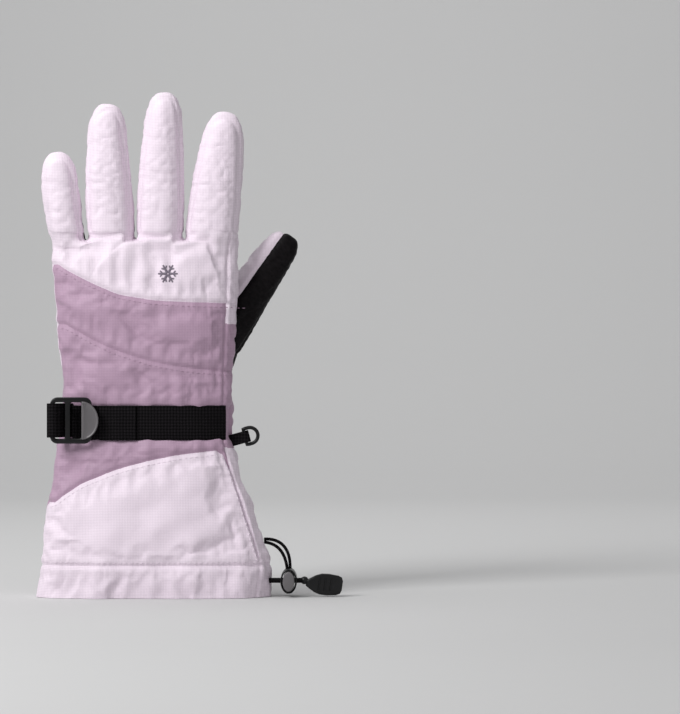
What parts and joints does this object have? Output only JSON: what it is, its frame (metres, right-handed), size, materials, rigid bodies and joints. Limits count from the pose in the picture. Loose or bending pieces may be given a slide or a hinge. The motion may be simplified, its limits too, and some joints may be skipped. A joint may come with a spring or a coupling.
{
  "type": "ski glove",
  "caption": "Left-hand insulated gauntlet ski glove standing on its cuff, with hinged fingers and thumb, wrist strap and buckle, loop ring, drawcord and cord lock.",
  "frame": {"origin": "middle of the bottom of the cuff hem, centre of the glove box without its cords", "axes": "+Z along the fingers, +X towards the thumb side, -Y out of the back of the hand, +Y out of the palm"},
  "size_m": [0.1793, 0.064, 0.2913],
  "materials": {
    "lilac_shell": "plain-weave ripstop nylon, matte, pale lilac",
    "mauve_shell": "plain-weave nylon, matte, dusty mauve",
    "palm_fabric": "grained synthetic palm fabric, semi-matte black",
    "webbing": "ribbed nylon webbing, black",
    "cord": "braided elastic cord, black",
    "elastic": "knitted elastic",
    "insulation": "non-woven batting",
    "lining": "brushed tricot with waterproof insert",
    "facing": "plain-weave nylon",
    "black_plastic": "moulded, fine texture",
    "grey_plastic": "moulded, satin grey",
    "spring_steel": "drawn spring wire",
    "thread": "embroidery thread"
  },
  "bodies": {
    "root": {"back_panel": "lilac_shell", "back_mid_panel": "mauve_shell", "back_wrist_panel": "mauve_shell", "back_cuff_panel": "lilac_shell", "palm_cuff_panel": "lilac_shell", "palm_wrist_panel": "mauve_shell", "index_side_strip": "lilac_shell", "palm_panel": "palm_fabric", "little_side_strip": "lilac_shell", "hand_insulation": "insulation", "hand_lining": "lining", "hem_channel": "lilac_shell", "cuff_facing": "facing", "upper_wrist_elastic": "elastic", "lower_wrist_elastic": "elastic", "thumb_gusset": "palm_fabric", "wrist_strap": "webbing", "strap_tail": "webbing", "buckle_anchor": "webbing", "ring_tab": "webbing", "cord_lock_barrel": "black_plastic", "cord_lock_spring": "spring_steel", "anchor_tape": "webbing", "drawcord": "cord", "embroidered_star": "thread"},
    "index": {"index_back": "lilac_shell", "index_fourchette": "lilac_shell", "index_palm": "palm_fabric", "index_insulation": "insulation", "index_lining": "lining"},
    "middle": {"middle_back": "lilac_shell", "middle_fourchette": "lilac_shell", "middle_palm": "palm_fabric", "middle_insulation": "insulation", "middle_lining": "lining"},
    "ring": {"ring_back": "lilac_shell", "ring_fourchette": "lilac_shell", "ring_palm": "palm_fabric", "ring_insulation": "insulation", "ring_lining": "lining"},
    "little": {"little_back": "lilac_shell", "little_fourchette": "lilac_shell", "little_palm": "palm_fabric", "little_insulation": "insulation", "little_lining": "lining"},
    "thumb": {"thumb_side_strip": "lilac_shell", "thumb_back_panel": "palm_fabric", "thumb_palm_panel": "palm_fabric", "thumb_insulation": "insulation", "thumb_lining": "lining"},
    "buckle": {"buckle_frame": "black_plastic", "buckle_lever": "grey_plastic"},
    "loop_ring": {"loop_ring": "black_plastic"},
    "lock_button": {"cord_lock_button": "grey_plastic"},
    "pull_tab": {"pull_tab": "black_plastic"}
  },
  "joints": [
    {"name": "index_flex", "type": "hinge", "parent": "root", "child": "index", "pos_m": [0.0263, -0.00151, 0.209], "axis": [-1, 0, 0], "range_deg": [0, 65], "stiffness_Nm_per_rad": 0.12},
    {"name": "middle_flex", "type": "hinge", "parent": "root", "child": "middle", "pos_m": [-0.0036, -0.00151, 0.209], "axis": [-1, 0, 0], "range_deg": [0, 65], "stiffness_Nm_per_rad": 0.12},
    {"name": "ring_flex", "type": "hinge", "parent": "root", "child": "ring", "pos_m": [-0.0317, -0.00151, 0.209], "axis": [-1, 0, 0], "range_deg": [0, 65], "stiffness_Nm_per_rad": 0.12},
    {"name": "little_flex", "type": "hinge", "parent": "root", "child": "little", "pos_m": [-0.0564, -0.00151, 0.2], "axis": [-1, 0, 0], "range_deg": [0, 65], "stiffness_Nm_per_rad": 0.12},
    {"name": "thumb_flex", "type": "hinge", "parent": "root", "child": "thumb", "pos_m": [0.0273, 0.02449, 0.1482], "axis": [-0.8148, 0, 0.5798], "range_deg": [0, 40], "stiffness_Nm_per_rad": 0.15},
    {"name": "buckle_tilt", "type": "hinge", "parent": "root", "child": "buckle", "pos_m": [-0.0642, -0.02781, 0.1025], "axis": [0, 0, -1], "range_deg": [0, 50]},
    {"name": "ring_swing", "type": "hinge", "parent": "root", "child": "loop_ring", "pos_m": [0.04599, -0.00851, 0.09255], "axis": [-0.2588, 0, 0.9659], "range_deg": [-50, 50]},
    {"name": "button_press", "type": "slide", "parent": "root", "child": "lock_button", "axis": [0, 1, 0], "range_m": [0, 0.0025], "stiffness_N_per_m": 300, "springref_m": -0.001, "deforming": ["cord_lock_spring"]},
    {"name": "pull_tab_swing", "type": "hinge", "parent": "root", "child": "pull_tab", "pos_m": [0.0806, -0.01351, 0.0095], "axis": [0, 0, 1], "range_deg": [-30, 30]}
  ]
}
